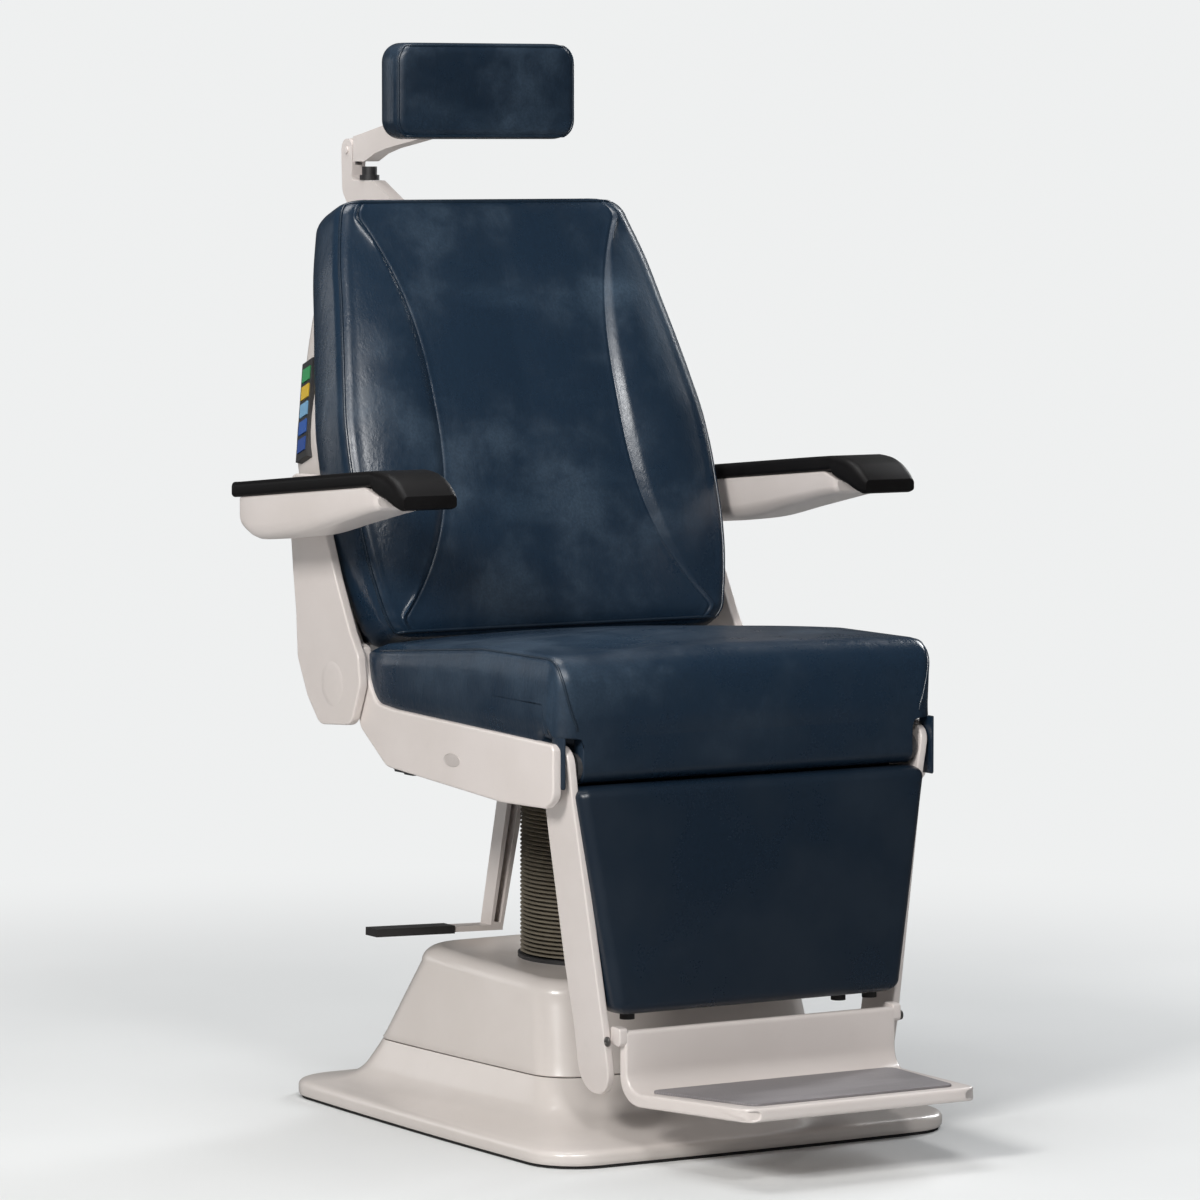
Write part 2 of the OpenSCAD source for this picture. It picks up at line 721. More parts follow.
module bellows_ring(z) {
    color(black) translate([0, column_y, z]) difference() {
        cylinder(r = bellows_r + ring_lip, h = ring_h);
        translate([0, 0, -over])
            cylinder(r = bellows_r - fold_d - bellows_wall, h = ring_h + 2 * over);
    }
}
module bellows_lower_ring() {
    bellows_ring(bellows_z);
}
module bellows_upper_ring() {
    bellows_ring(head_z0 - ring_h);
}
module bellows() {
    z0 = bellows_z + ring_h;
    z1 = head_z0 - ring_h;
    pitch = (z1 - z0) / fold_n;
    folds = [for (i = [0:fold_n - 1]) each
        [[bellows_r - fold_d, z0 + i * pitch], [bellows_r, z0 + (i + 0.5) * pitch]]];
    bore = bellows_r - fold_d - bellows_wall;
    color([0.30, 0.29, 0.25]) translate([0, column_y, 0]) rotate_extrude()
        polygon(concat([[bore, z0]], folds, [[bellows_r - fold_d, z1], [bore, z1]]));
}
module pump_unit() {
    z0 = mat_t + plate_t;
    color(dark_steel) {
        translate([-motor_x, motor_y, z0]) cylinder(r = motor_r, h = motor_h);
        block([-motor_x, motor_y - motor_r / 2, z0],
            [tank_at[0], motor_y + motor_r / 2, z0 + motor_r]);
    }
    color("dimgray") translate([tank_at[0], tank_at[1], z0]) cube(tank_size);
}
module control_box() {
    color("gray") translate([-control_size[0] / 2, control_y, mat_t + plate_t]) cube(control_size);
}
// Body of the mains inlet, with an optional gap around it
module inlet_block(g) {
    z0 = mat_t + plate_t + inlet_up;
    block([inlet_x - g, inlet_y, z0 - g],
        [inlet_x + inlet_size[0] + g, inlet_y + 2 * inlet_size[1], z0 + inlet_size[2] + g]);
}
module mains_inlet() {
    z0 = mat_t + plate_t + inlet_up;
    mouth = inlet_size - [2, 2, 2] * shell_t;
    color(black) difference() {
        inlet_block(0);
        translate([inlet_x + shell_t, inlet_y + inlet_size[1], z0 + shell_t])
            cube([mouth[0], inlet_size[1] + over, mouth[2]]);
    }
    color("silver") for (k = [1:3])
        rod_y(inlet_pin_r, inlet_y + inlet_size[1], inlet_y + 1.7 * inlet_size[1],
            inlet_x + inlet_size[0] * k / 4, z0 + inlet_size[2] / 2);
}

// Seat
module seat_frame() {
    z0 = swivel_z + rail_up;
    ear_pts = soften([[rail_rear - 2 * cross_l, z0], [rail_rear, z0],
        [hinge_y + ear_r * 0.6, hinge_z - ear_r * 1.1], [hinge_y + ear_r, hinge_z + ear_r],
        [hinge_y - ear_r, hinge_z + ear_r], [rail_rear + 2 * ear_t, z0 + rail_h],
        [rail_rear - 2 * cross_l, z0 + rail_h]], ear_radii);
    front_ear = soften([[front_ear_step - rail_front, z0], [front_ear_l - rail_front, z0],
        [front_ear_l - rail_front, z0 + rail_h - ear_t], [-leg_y - front_ear_r, leg_z + front_ear_r],
        [-leg_y - front_ear_r, leg_z - front_ear_r], [front_ear_step - rail_front, leg_z - front_ear_r]],
        front_ear_radii);
    color(dark_steel) difference() {
        union() {
            on_both() {
                block([rail_x, -rail_front, z0], [rail_x + rail_w, rail_rear, z0 + rail_h]);
                for (s = standoffs)
                    block([rail_x + rail_w, s[0], swivel_z + s[1]],
                        [cover_in - seat_gap, s[0] + standoff_l, swivel_z + s[1] + standoff_l]);
                slab(ear_pts, ear_in, ear_t);
                slab(front_ear, ear_in, ear_t);
            }
            block([-ear_in - leg_gap, -rail_front, z0], [ear_in + leg_gap, cross_l - rail_front, z0 + cross_h]);
            block([-ear_out, rail_rear - cross_l, z0], [ear_out, rail_rear, z0 + rear_cross_h]);
            block([-rail_x, -hub_r - cross_l, z0], [rail_x, rail_rear, z0 + hub_plate_t]);
            translate([0, column_y, swivel_z + seat_gap]) cylinder(r = hub_r, h = hub_h);
            block([-lever_x - lever_w, rail_rear - over, z0 + hub_plate_t],
                [lever_w - lever_x, rail_rear + bracket_t, swivel_z + lever_pivot_up + lever_w]);
        }
        translate([0, column_y, swivel_z - over])
            cylinder(r = spigot_r + run_gap, h = hub_h + 3 * over);
        rod_x(shaft_r + run_gap, -cover_in, cover_in, hinge_y, hinge_z);
        rod_x(leg_pin_r + run_gap, -cover_in, cover_in, -leg_y, leg_z);
        rod_y(lever_pin_r + run_gap, rail_rear - cross_l, rail_rear + 2 * bracket_t, -lever_x,
            swivel_z + lever_pivot_up + lever_w / 2);
    }
}
module seat_board() {
    z0 = swivel_z + rail_up + rail_h;
    color("burlywood") block([board_edge - seat_w / 2, -rail_front - board_t, z0],
        [seat_w / 2 - board_edge, seat_rear, z0 + board_t]);
}
// Side outline of the seat cushion at a share of its half width
function seat_profile(t) =
    let (rise = seat_crown * (1 - t * t), top = swivel_z + seat_top_up,
        under = swivel_z + seat_under_up + seat_gap, low = swivel_z + apron_up)
    soften([[seat_rear, under], [seat_rear + rise / 3, top - seat_fall + rise],
        [mix(-seat_front, seat_rear, 0.42), top + 1.25 * rise],
        [-seat_front + rise / 4, top + rise / 2], [-seat_front - rise / 4, mix(low, top, 0.5)],
        [-seat_front, swivel_z + apron_cut_up], [-seat_front, low], [apron_t - seat_front, low],
        [apron_t - seat_front, under]],
        seat_radii, 3);
function eased_profile(t, e) =
    let (p = seat_profile(t), q = draw_in(p, e))
    [for (i = [0:len(p) - 1]) mix(p[i], q[i], seat_ease_shares[floor(i / 4)])];
module seat_cushion() {
    half = seat_w / 2;
    top = swivel_z + seat_top_up;
    soft = seat_edge_r / half;
    side = [for (a = [0:30:90]) [1 - soft * (1 - cos(a)), seat_edge_r * (1 - sin(a)) * seat_end_share]];
    piped = concat(side, [[seat_pipe_share, 0], [seat_pipe_share - seat_pipe / half, seat_pipe],
        [seat_pipe_share - 2 * seat_pipe / half, 0], [0.6, 0], [0.25, 0]]);
    all = concat([for (s = piped) [-s[0], s[1]]],
        [for (i = [len(piped) - 1:-1:0]) piped[i]]);
    color(leather) loft([for (s = all) [for (p = eased_profile(s[0], s[1]))
        let (waist = 1 - seat_waist * (top - p[1]) / (top - swivel_z - apron_up)
            - seat_rear_waist * (p[0] + seat_front) / (seat_front + seat_rear),
            x = abs(s[0]) * half * waist, reach = apron_half * mix(apron_squeeze, 1, abs(s[0])))
        [side(s[0]) * (p[1] < swivel_z + apron_cut_up ? min(x, reach) : x), p[0], p[1]]]],
        caps = seat_caps);
}
module seat_side_cover() {
    pts = soften([for (s = side_shares)
        [s[0] * side_l - side_front, swivel_z + side_up + s[1] * side_h]], side_radii);
    color(enamel) difference() {
        slab(pts, cover_in, side_t);
        for (s = standoffs) rod_x(cover_screw_r, cover_in - over, cover_in + side_t / 2,
            s[0] + standoff_l / 2, swivel_z + s[1] + standoff_l / 2);
        rod_x(badge_pin_r, cover_in - over, cover_out + over, -badge_y, swivel_z + badge_up);
    }
}
module seat_side_cover_right() {
    on_left() seat_side_cover();
}
module seat_side_cover_left() {
    seat_side_cover();
}
module under_pan() {
    z0 = swivel_z + rail_up - pan_t;
    color(enamel) difference() {
        block([-rail_x - 2 * rail_w, -pan_front, z0], [rail_x + 2 * rail_w, pan_rear, z0 + pan_t]);
        translate([0, column_y, z0 - over]) cylinder(r = hub_r + pan_t, h = pan_t + 2 * over);
    }
}
module recline_actuator() {
    color(black) {
        difference() {
            rod_y(tube_r, -tube_front, tube_rear, 0, rod_z);
            rod_y(rod_r + run_gap, -tube_front + rod_r, tube_rear + over, 0, rod_z);
        }
        block([-tube_r, -tube_front - gearbox_l, rod_z - drive_r],
            [drive_x + drive_r, -tube_front, rod_z + drive_r]);
        rod_y(drive_r, -tube_front, drive_l - tube_front, drive_x, rod_z);
        block([-tube_r, -rail_front + cross_l, rod_z - drive_r],
            [tube_r, -tube_front - gearbox_l, rod_z - rod_r]);
    }
}
module leg_pivot_pins() {
    color("silver") on_both() rod_x(leg_pin_r, ear_in, cover_in - link_gap, -leg_y, leg_z);
}
// Frame of the lever's bar, with its root at the origin and its tip towards -X
module on_bar() {
    translate([lever_bar_x, 0, lever_bar_z]) rotate([0, lever_rise, 0]) children();
}
module brake_lever() {
    z0 = swivel_z + lever_pivot_up + lever_w / 2;
    y0 = rail_rear + bracket_t + seat_gap;
    color(enamel) {
        translate([-lever_x, 0, z0]) rotate([0, lever_lean, 0]) difference() {
            hull() {
                block([-lever_w / 2, y0, -lever_w / 2], [lever_w / 2, y0 + lever_w, lever_w / 2]);
                block([-lever_t / 2, y0, -lever_drop], [lever_t / 2, y0 + lever_w, -lever_drop + bar_t]);
            }
            block([lever_wall - lever_t / 2, y0 - over, -lever_drop + bar_t],
                [lever_t / 2 - lever_wall, y0 + lever_w - lever_wall, -lever_w / 2]);
            rod_y(lever_pin_r - run_gap, y0 - over, y0 + lever_w + over, 0, 0);
        }
        on_bar() block([-lever_l, y0, -bar_t / 2], [0, y0 + lever_w, bar_t / 2]);
    }
    color("silver") rod_y(lever_pin_r, rail_rear - cross_l, y0 + lever_w, -lever_x, z0);
}
module brake_grip() {
    y0 = rail_rear + bracket_t + seat_gap;
    rim = (grip_t - bar_t) / 2;
    color(black) on_bar() difference() {
        block([-lever_l - rim, y0 - rim, -grip_t / 2], [grip_l - lever_l, y0 + lever_w + rim, grip_t / 2]);
        block([-lever_l, y0, -bar_t / 2], [grip_l - lever_l + over, y0 + lever_w, bar_t / 2]);
    }
}

// Backrest
module back_frame() {
    color(dark_steel) {
        on_back() {
            rod_x(shaft_r, -support_out, support_out, 0, 0);
            on_both() {
                block([upright_x, frame_n, 0], [upright_x + upright_w, frame_n + upright_t, upright_top]);
                rod_x(crank_bar_r, upright_x - upright_w / 2, upright_x + 1.5 * upright_w, 0, 0);
            }
            for (u = [bar_low_u, bar_high_u])
                block([-upright_x, frame_n, u], [upright_x, frame_n + upright_t, u + bar_h]);
            difference() {
                block([-post_w / 2 - guide_w, frame_n + upright_t, guide_low_u],
                    [post_w / 2 + guide_w, post_n + post_t + guide_wall, upright_top]);
                block([-post_w / 2 - run_gap, post_n - run_gap, guide_low_u - over],
                    [post_w / 2 + run_gap, post_n + post_t + run_gap, upright_top + over]);
            }
        }
        // Slotted crank for the actuator, pointing to the rear at rest
        translate([0, hinge_y, hinge_z]) rotate([crank_back, 0, 0]) difference() {
            union() {
                rod_x(crank_bar_r, crank_x, crank_x + crank_t, 0, 0);
                block([crank_x, -crank_half, -crank_tip], [crank_x + crank_t, crank_half, 0]);
            }
            block([crank_x - over, -slot_half, -slot_out], [crank_x + crank_t + over, slot_half, -slot_in]);
        }
        // Crank and pin for the link to the leg rest
        translate([0, hinge_y, hinge_z]) rotate([crank_rest, 0, 0]) {
            slab(soften([[-crank_half, -crank_half], [crank_r + link_eye_r, -link_eye_r],
                [crank_r + link_eye_r, link_eye_r], [-crank_half, crank_half]],
                [crank_half, link_eye_r, link_eye_r, crank_half]), -link_in + leg_gap / 2, leg_t - leg_gap);
            rod_x(link_pin_r, -link_out, -link_in + leg_gap, crank_r, 0);
        }
    }
}
// Half width of the back board at a share of the back's length, inside the shell
function board_half(t) = shell_half * min(read_at(back_shares, t) - board_inset / shell_half,
    read_at(shell_shares, (cushion_u0 + t * back_l - shell_u0) / shell_l) - 2 * shell_t / shell_half);
module back_board() {
    low = board_inset / back_l;
    edge = [for (i = [0:board_n]) let (t = mix(low, 1 - low, i / board_n)) [board_half(t), cushion_u0 + t * back_l]];
    color("burlywood") on_back() translate([0, back_rear_n, 0]) rotate([-90, 0, 0])
        linear_extrude(back_board_t) polygon(concat([for (p = edge) [p[0], -p[1]]],
            [for (i = [board_n:-1:0]) [-edge[i][0], -edge[i][1]]]));
}
// Plan of the back cushion at a share of its height: x across and y to the rear
function back_ring(s) =
    let (t = min(1, max(0, s[0])), half = back_half * read_at(back_shares, t) - s[1],
        away = t - seam_mid_share,
        gain = away > 0 ? seam_top_share * pow(away / (1 - seam_mid_share), seam_power)
            : seam_low_share * pow(-away / seam_mid_share, seam_power),
        seam = min(half - back_edge_r - 3 * seam_groove, back_half * (seam_half_share + gain)),
        front = chord_n + s[1] * 0.8 - back_bulge * sin(180 * t),
        wing = half - back_edge_r,
        side = [for (a = [0:30:60]) [half - back_edge_r * (1 - cos(a)),
            front + back_edge_r * (1 - sin(a))]],
        face = [[wing, front], [mix(seam, wing, 0.6), front - wing_rise * (t > 0.04 && t < 0.96 ? 1 : 0)],
            [seam + seam_groove, front - wing_rise / 3], [seam, front + seam_groove],
            [seam - seam_groove, front], [seam * 0.55, front + wing_rise / 5]],
        edge = [[half, back_rear_n - seat_gap - s[1] * 0.6], [half, mix(front, back_rear_n, 0.55)]],
        right = concat(edge, side, face))
    concat([for (p = right) [-p[0], p[1]]], [[0, front + wing_rise / 3]],
        [for (i = [len(right) - 1:-1:0]) right[i]]);
module back_cushion() {
    soft = back_edge_r / back_l;
    stations = concat([for (a = [0:30:90]) [soft * (1 - cos(a)), back_edge_r * (1 - sin(a)) * 0.45]],
        [for (i = [1:17]) [soft + (1 - 2 * soft) * i / 18, 0]],
        [for (a = [90:-30:0]) [1 - soft * (1 - cos(a)), back_edge_r * (1 - sin(a)) * 0.45]]);
    color(leather) on_back() loft([for (s = stations)
        [for (p = back_ring(s)) [p[0], p[1], cushion_u0 + s[0] * back_l]]], fan = true);
}
// Plan of the back shell at a share of its height, drawn in by a wall
function shell_ring(t, wall, z) =
    let (half = shell_half * read_at(shell_shares, t) - wall,
        squeeze = read_at(shell_end_shares, t), front = back_rear_n + seat_gap,
        rear = mix(shell_rear_n, back_rear_n, squeeze) - wall, r = shell_corner_r * (1 - squeeze / 2),
        corner = [for (a = [0:15:90]) [half - r * (1 - cos(a)), rear - r * (1 - sin(a))]],
        right = concat([[half, front], [half, mix(front, rear - r, 0.5)]], corner,
            [[half * 0.6, rear], [half * 0.3, rear]]),
        ring = concat(right, [[0, rear]], [for (i = [len(right) - 1:-1:0]) [-right[i][0], right[i][1]]]))
    [for (p = ring) [p[0], p[1] + shell_bow * max(0, (p[1] - front) / (rear - front))
        * (1 - pow(p[0] / half, 2)), z]];
module back_shell() {
    outer = [for (t = shell_outer_shares) shell_ring(t, 0, shell_u0 + t * shell_l)];
    inner = [for (t = shell_inner_shares) [for (p = shell_ring(t, shell_t, shell_u0 + shell_t + t * (shell_l - 2 * shell_t)))
            [p[0], p[1] < back_rear_n + over ? back_rear_n - over : p[1], p[2]]]];
    color(enamel) on_back() difference() {
        loft(outer, fan = true);
        loft(inner, fan = true);
        block([-post_w / 2 - over, post_n - over, shell_u0 + shell_l / 2],
            [post_w / 2 + over, post_n + post_t + over, shell_u0 + shell_l + over]);
        on_both() block([upright_x - over, frame_n - over, shell_u0 - over],
            [upright_x + upright_w + over, frame_n + upright_t + over, shell_u0 + 2 * shell_t]);
    }
}
module back_support() {
    pts = soften([for (s = support_shares) [hinge_y, hinge_z] + support_h * s], support_round);
    color(enamel) difference() {
        union() {
            eased_slab(pts, support_in, support_t, side_edge);
            rod_x(boss_r, support_in + side_edge, arm_in + arm_body_gap, arm_pivot_y, arm_pivot_z);
        }
        rod_x(shaft_r + run_gap, support_in - over, support_out + over, hinge_y, hinge_z);
        rod_x(arm_pin_r + run_gap, support_in - over, arm_in + arm_w, arm_pivot_y, arm_pivot_z);
    }
}
module back_support_right() {
    on_left() back_support();
}
module back_support_left() {
    back_support();
}
// Frame of the keypad: its face outwards along +Z, its length along +Y
module on_keypad() {
    on_back() translate([-pad_face_x, pad_n + pad_w / 2, pad_u]) rotate([0, 0, -90])
        rotate([90 - pad_lean, 0, 0]) children();
}
module keypad_housing() {
    color(black) on_keypad() difference() {
        block([-pad_w / 2, -pad_l / 2, -pad_t], [pad_w / 2, pad_l / 2, 0]);
        for (k = [1:key_n]) key_block(k, key_gap, -key_sink - key_stroke - key_gap, over);
    }
}
// Outline of one key, counted from the top, between two heights
module key_block(k, g, low, high) {
    y = ((key_n + 1) / 2 - k) * key_pitch;
    block([-key_w / 2 - g, y - key_l / 2 - g, low], [key_w / 2 + g, y + key_l / 2 + g, high]);
}
module key_solid(k, tint) {
    color(tint) on_keypad() key_block(k, 0, -key_sink, key_t - key_sink);
}
module key_1() {
    key_solid(1, "green");
}
module key_2() {
    key_solid(2, "goldenrod");
}
module key_3() {
    key_solid(3, "steelblue");
}
module key_4() {
    key_solid(4, "royalblue");
}
module key_5() {
    key_solid(5, "royalblue");
}
module arm_pivot_pins() {
    color("silver") on_both()
        rod_x(arm_pin_r, support_in, arm_in + arm_w * pin_share, arm_pivot_y, arm_pivot_z);
}

// Recline linkage
module sync_link() {
    pin = [hinge_y + crank_r * cos(crank_rest), hinge_z + crank_r * sin(crank_rest)];
    color(steel) translate([0, pin[0], pin[1]]) rotate([link_angle, 0, 0]) difference() {
        union() {
            rod_x(link_eye_r, -link_out, -link_in, 0, 0);
            rod_x(link_eye_r, -link_out, -link_in, -link_l, 0);
            block([-link_out, -link_l, -link_h / 2], [-link_in - link_relief, 0, link_h / 2]);
        }
        rod_x(link_pin_r + run_gap, -link_out - over, -link_in + over, 0, 0);
        rod_x(link_pin_r + link_slack, -link_out - over, -link_in + over, -link_l, 0);
    }
}
module actuator_rod() {
    color("silver") {
        rod_y(rod_r, -rod_front, rod_rest_y - rod_r, 0, rod_z);
        difference() {
            block([-rod_r, rod_rest_y - 2 * rod_r, rod_z - rod_r], [crank_x - leg_gap, rod_rest_y + rod_r, rod_z + rod_r]);
            rod_x(rod_pin_r, -rod_r - over, crank_x, rod_rest_y, rod_z);
        }
        rod_x(rod_pin_r, -rod_r, crank_x + crank_t + link_t, rod_rest_y, rod_z);
    }
}

// Leg rest
function leg_x(z) = leg_face_x - (leg_z - z) * tan(leg_lean);
module leg_arm() {
    pts = soften([for (s = leg_shares) leg_l * s], leg_radii);
    color(enamel) difference() {
        translate([leg_face_x, -leg_y, leg_z]) rotate([0, leg_lean, 0])
            eased_slab(pts, -leg_t, leg_t, side_edge / 2);
        rod_x(leg_pin_r + run_gap, 0, cover_out, -leg_y, leg_z);
        rod_x(foot_screw_r + run_gap, 0, cover_out, -foot_y, foot_z);
    }
}
module leg_arm_right() {
    pin = [-leg_y + crank_r * cos(crank_rest), leg_z + crank_r * sin(crank_rest)];
    on_left() leg_arm();
    color("silver") rod_x(link_pin_r, -link_out, leg_t / 2 - leg_out, pin[0], pin[1]);
}
module leg_arm_left() {
    leg_arm();
}
// Place behind the front face of the calf pad at a height
function calf_y(z) = -calf_front - (leg_z - calf_top_drop - z) * tan(calf_lean);
module leg_cross_bars() {
    color(dark_steel) for (d = cross_bar_drops) {
        z0 = leg_z - d - cross_bar_h / 2;
        z1 = z0 + cross_bar_h;
        y1 = calf_y(z1) + calf_t + calf_board_t + 2 * seat_gap + cross_bar_t;
        ends = [for (z = [z0, z1]) leg_x(z) - leg_t / cos(leg_lean) - seat_gap];
        translate([0, y1, 0]) rotate([90, 0, 0]) linear_extrude(cross_bar_t)
            polygon([[-ends[0], z0], [ends[0], z0], [ends[1], z1], [-ends[1], z1]]);
    }
}
// Plan of the calf pad at a share of its height from the bottom
function calf_ring(t, inset, y0, depth, crown) =
    let (half = mix(calf_low_half, calf_top_half, t) - inset,
        z = leg_z - calf_top_drop - calf_h * (1 - t), r = calf_corner_r,
        y = calf_y(z) + y0 + inset * 0.7,
        front = [for (a = [0:30:90]) [half - r * (1 - sin(a)), y + r * (1 - cos(a))]],
        right = concat([[half * 0.4, y - crown * 0.9], [half * 0.8, y - crown * 0.5]], front,
            [[half, y + depth - inset * 0.7]]))
    concat([[0, y - crown, z]], [for (p = right) [p[0], p[1], z]],
        [for (i = [len(right) - 1:-1:0]) [-right[i][0], right[i][1], z]]);
module calf_cushion() {
    r = calf_corner_r;
    soft = r / calf_h;
    stations = concat([for (a = [0:30:90]) [soft * (1 - cos(a)), r * (1 - sin(a)) * calf_end_share]],
        [for (t = [0.25, 0.5, 0.75]) [t, 0]],
        [for (a = [90:-30:0]) [1 - soft * (1 - cos(a)), r * (1 - sin(a)) * calf_end_share]]);
    color(leather) loft([for (s = stations)
        calf_ring(s[0], s[1], 0, calf_t, calf_crown * sin(180 * s[0]))], fan = true);
}
module calf_board() {
    color("dimgray") loft([for (t = calf_board_shares)
        let (half = mix(calf_low_half, calf_top_half, t) - calf_board_edge,
            z = leg_z - calf_top_drop - calf_h * (1 - t), y = calf_y(z) + calf_t + seat_gap)
        [[-half, y, z], [half, y, z], [half, y + calf_board_t, z], [-half, y + calf_board_t, z]]]);
}
module foot_bumpers() {
    z = leg_z - calf_top_drop - calf_h;
    color(black) for (x = [-bumper_x, bumper_x - 5 * bumper_r, bumper_x])
        translate([x, calf_y(z) + calf_t * 0.75, z - bumper_t]) cylinder(r = bumper_r, h = bumper_t);
}
module foot_pivot_screws() {
    half = leg_x(foot_z);
    color("silver") on_both()
        rod_x(foot_screw_r, half - leg_t - lug_t - 3 * leg_gap, half + side_edge, -foot_y, foot_z);
}

// Footplate
module footplate() {
    half = leg_x(foot_z) - leg_t - 3 * leg_gap;
    depth = foot_front - wall_front + wall_t;
    low = foot_top_z - foot_t;
    plan = soften([[-foot_half, 0], [-foot_front_half, -depth], [foot_front_half, -depth], [foot_half, 0]],
        [side_edge, foot_corner_r, foot_corner_r, side_edge]);
    wall = soften([[-foot_half, low], [foot_half, low], [foot_half, foot_z + side_edge],
        [-foot_half, foot_z + side_edge]], [foot_corner_r, foot_corner_r, side_edge, side_edge]);
    color(enamel) difference() {
        union() {
            translate([0, wall_t - wall_front, foot_top_z - foot_t]) rotate([-foot_lean, 0, 0])
                linear_extrude(foot_t) polygon(plan);
            translate([0, wall_t - wall_front, 0]) rotate([90, 0, 0]) linear_extrude(wall_t) polygon(wall);
            on_both() {
                rod_x(lug_r, half - lug_t, half, -foot_y, foot_z);
                block([foot_half - lug_t - foot_corner_r, -wall_front, foot_z - lug_r],
                    [half, wall_t - wall_front, foot_z + side_edge]);
            }
        }
        rod_x(foot_screw_r + run_gap, -cover_out, cover_out, -foot_y, foot_z);
    }
}
module foot_mat() {
    depth = foot_front - wall_front;
    edge = foot_mat_edge;
    color("gray") translate([0, -wall_front, foot_top_z]) rotate([-foot_lean, 0, 0])
        translate([0, 0, seat_gap * 2]) linear_extrude(foot_mat_t)
        polygon(soften([[edge - foot_half, -edge], [edge - foot_front_half, edge - depth],
            [foot_front_half - edge, edge - depth], [foot_half - edge, -edge]], foot_corner_r / 2));
}

// Arms
// Section of an arm piece: across X between two heights, at a place along Y, with two corner radii
function arm_ring(half, low, high, y, r_low, r_high) =
    let (xc = arm_in + arm_w / 2)
    [for (k = [0:3], a = [0:30:90])
        let (sx = k == 0 || k == 3 ? 1 : -1, sz = k < 2 ? 1 : -1, r = k < 2 ? r_high : r_low)
        [xc + sx * (half - r) + r * cos(a + 90 * k), y, (sz > 0 ? high - r : low + r) + r * sin(a + 90 * k)]];
function arm_line(t) = arm_under_z + t * arm_l * arm_rise_share;
module arm_body() {
    color(enamel) difference() {
        loft([for (s = body_shares) arm_ring(arm_body_w / 2 * s[2],
            arm_line(s[0]) - s[1] * arm_body_h - seat_gap, arm_line(s[0]) - s[3] * arm_pad_t - seat_gap,
            arm_rear_y - s[0] * arm_l, s[1] * arm_body_h * arm_corner_share - s[3] * side_edge, side_edge)]);
        rod_x(arm_pin_r + run_gap, arm_in - over, arm_in + arm_w + over, arm_pivot_y, arm_pivot_z);
    }
}
module arm_pad() {
    color(black) loft([for (s = pad_shares)
        let (low = arm_line(s[0]) + arm_pad_t * (s[1] + 1 - s[2]), high = arm_line(s[0]) + arm_pad_t * (1 + s[1]),
            under = s[0] < pad_drop_share ? max(low, arm_line(s[0])) : low,
            r = (high - under) * arm_corner_share)
        arm_ring(arm_w / 2 * s[3], under, high, arm_rear_y - s[0] * arm_l, r, r)]);
}
module arm_body_right() {
    on_left() arm_body();
}
module arm_body_left() {
    arm_body();
}
module arm_pad_right() {
    on_left() arm_pad();
}
module arm_pad_left() {
    arm_pad();
}

// Headrest
module headrest_post() {
    web = soften([[foot_end_y - post_t, foot_low_z - elbow_r * 1.4],
        [foot_end_y + elbow_r, foot_low_z - elbow_r * 1.6], [column_front_y, foot_low_z + elbow_r],
        [column_rear_y - elbow_r, foot_low_z + elbow_r * 1.5], [column_rear_y, foot_web_z - elbow_r],
        [elbow_y + elbow_r, elbow_z - elbow_r], [elbow_y + elbow_r, elbow_z + elbow_r],
        [elbow_y - elbow_r, elbow_z + elbow_r], [elbow_y - elbow_r, elbow_z - elbow_r],
        [column_front_y, foot_web_z], [web_apex_y, foot_web_z], [foot_top_y, foot_low_z],
        [foot_end_y - post_t, foot_low_z - elbow_r / 2]],
        web_radii);
    color(enamel) difference() {
        union() {
            slab(web, -fork_half, 2 * fork_half);
            on_back() block([-post_w / 2, post_n, post_low_u], [post_w / 2, post_n + post_t, post_top_u]);
        }
        block([-tongue_half - seat_gap, elbow_y - 2 * elbow_r, elbow_z - elbow_r * 1.3],
            [tongue_half + seat_gap, elbow_y + 2 * elbow_r, elbow_z + elbow_r + over]);
    }
    color("silver") rod_x(elbow_pin_r, -fork_half - side_edge, fork_half + side_edge, elbow_y, elbow_z);
}
module headrest_arm() {
    pts = soften([for (q = neck_shares) [mix(head_joint_y, elbow_y, q[0]), mix(head_z, elbow_z, q[1])]],
        neck_radii);
    color(enamel) difference() {
        slab(pts, -neck_half, 2 * neck_half);
        rod_x(elbow_pin_r + run_gap, -neck_half - over, neck_half + over, elbow_y, elbow_z);
        rod_x(elbow_pin_r + run_gap, -neck_half - over, neck_half + over, head_joint_y, head_z);
        on_both() block([tongue_half, elbow_y - neck_r, elbow_z - 2 * neck_r],
            [neck_half + over, elbow_y + 2 * neck_r, elbow_z + 2 * neck_r]);
    }
}
module headrest_plate() {
    y0 = head_y + head_t + seat_gap;
    ear = soften([[y0 + head_plate_t / 2, head_z - elbow_r * 1.3], [head_joint_y + elbow_r, head_z - elbow_r],
        [head_joint_y + elbow_r, head_z + elbow_r], [y0 + head_plate_t / 2, head_z + elbow_r * 1.3]],
        [2, elbow_r, elbow_r, 2]);
    plate = soften([for (s = [[-1, -1], [1, -1], [1, 1], [-1, 1]])
        [s[0] * (head_w / 2 - head_plate_edge), s[1] * (head_h / 2 - head_plate_edge)]], head_plate_edge / 2);
    color(black) {
        difference() {
            translate([0, y0 + head_plate_t, head_z]) rotate([90, 0, 0]) linear_extrude(head_plate_t) polygon(plate);
            block([-neck_half - seat_gap, y0 - over, head_z - head_slot_half],
                [neck_half + seat_gap, y0 + head_plate_t + over, head_z + head_slot_half]);
        }
        on_both() slab(ear, neck_half + seat_gap, joint_ear_t);
        rod_x(elbow_pin_r, -neck_half - joint_ear_t, neck_half + joint_ear_t, head_joint_y, head_z);
    }
}
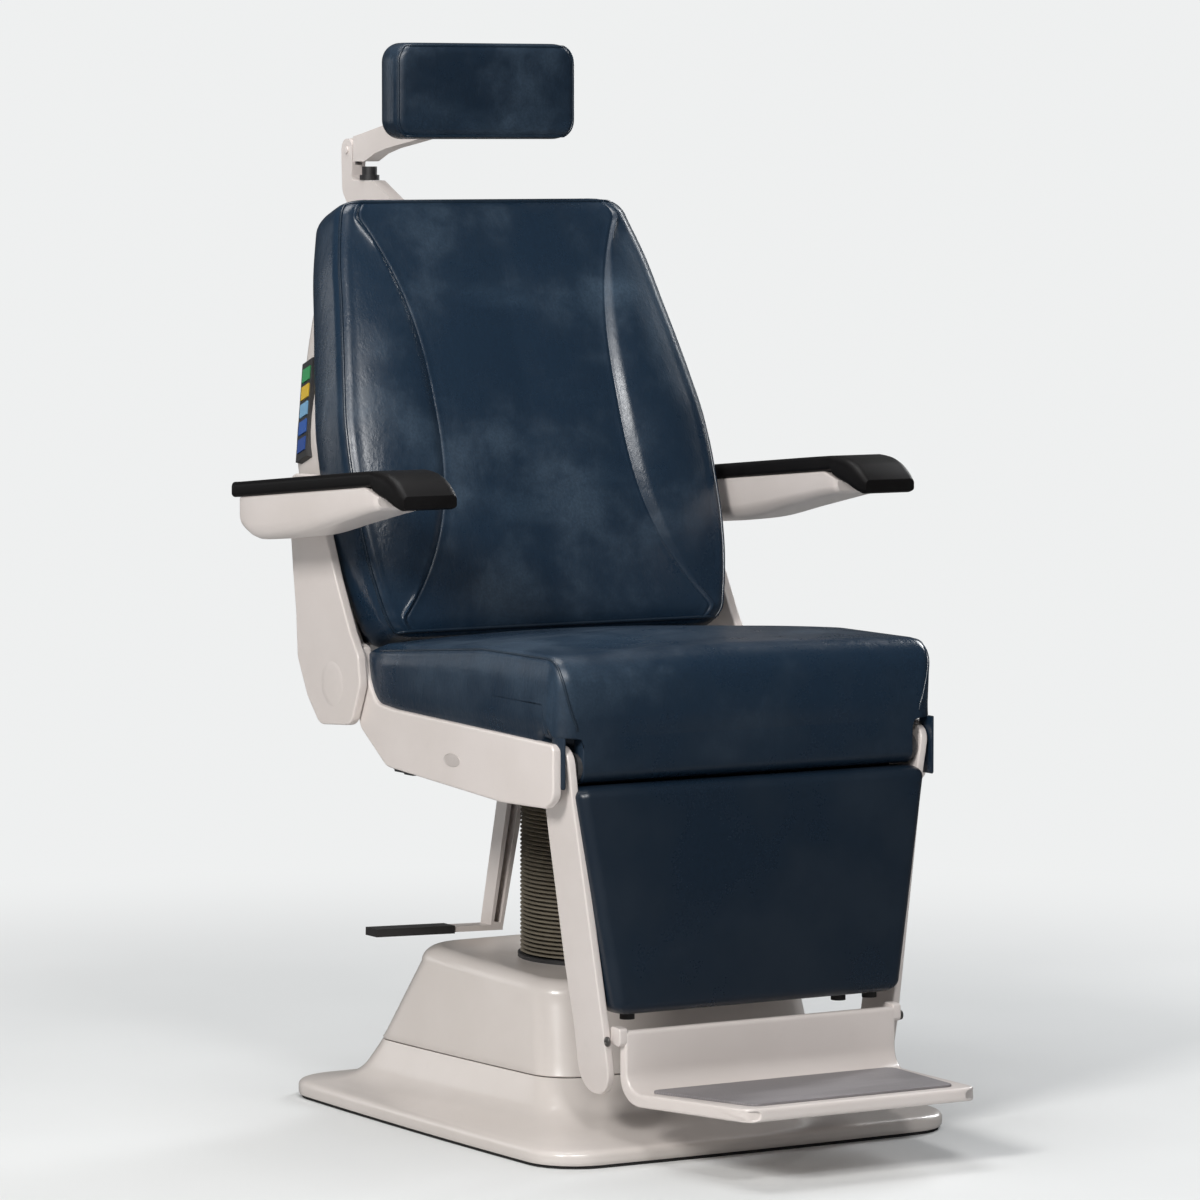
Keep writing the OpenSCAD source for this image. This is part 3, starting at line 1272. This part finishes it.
// Section of the headrest pad at a share of its half width
function head_ring(x, inset, bulge) =
    let (h = head_h / 2 - inset, y0 = head_y + inset * 0.9, y1 = head_y + head_t - inset * 0.4)
    [for (p = soften([[y1, head_z - h], [y1, head_z + h], [y0, head_z + h], [y0 - bulge, head_z],
        [y0, head_z - h]], head_radii, 4)) [x, p[0], p[1]]];
module headrest_cushion() {
    half = head_w / 2;
    r = head_edge_r;
    ends = [for (a = [0:22.5:90]) [half - r * (1 - cos(90 - a)), r * (1 - sin(90 - a))]];
    low = concat([for (i = [len(ends) - 1:-1:0]) ends[i]], [[half - 1.5 * r, 0], [half - 1.6 * r, seam_groove / 2],
        [half - 1.7 * r, 0], [half * 0.4, 0]]);
    all = concat([for (s = low) [-s[0], s[1]]], [[0, 0]], [for (i = [len(low) - 1:-1:0]) low[i]]);
    color(leather) loft([for (s = all) head_ring(s[0], s[1], seam_groove * (1 - pow(s[0] / half, 2)) + over)]);
}
module headrest_knob() {
    color(black) translate([0, knob_y, foot_web_z + seat_gap]) {
        cylinder(r = knob_r, h = knob_disc_h);
        cylinder(r = knob_grip_r, h = knob_h);
    }
}

base_mat();
base_plate();
base_skirt();
base_cover();
column_outer();
guide_bushes();
lift_cylinder();
pump_unit();
control_box();
mains_inlet();
bellows_lower_ring();
bellows();
column_inner();
lift_ram();
lift_head();
bellows_upper_ring();
seat_frame();
seat_board();
seat_cushion();
seat_side_cover_right();
seat_side_cover_left();
under_pan();
recline_actuator();
leg_pivot_pins();
brake_lever();
brake_grip();
back_frame();
back_board();
back_shell();
back_support_right();
back_support_left();
back_cushion();
keypad_housing();
arm_pivot_pins();
key_1();
key_2();
key_3();
key_4();
key_5();
sync_link();
actuator_rod();
leg_arm_right();
leg_arm_left();
leg_cross_bars();
calf_board();
calf_cushion();
foot_bumpers();
foot_pivot_screws();
footplate();
foot_mat();
arm_body_right();
arm_pad_right();
arm_body_left();
arm_pad_left();
headrest_post();
headrest_arm();
headrest_plate();
headrest_cushion();
headrest_knob();
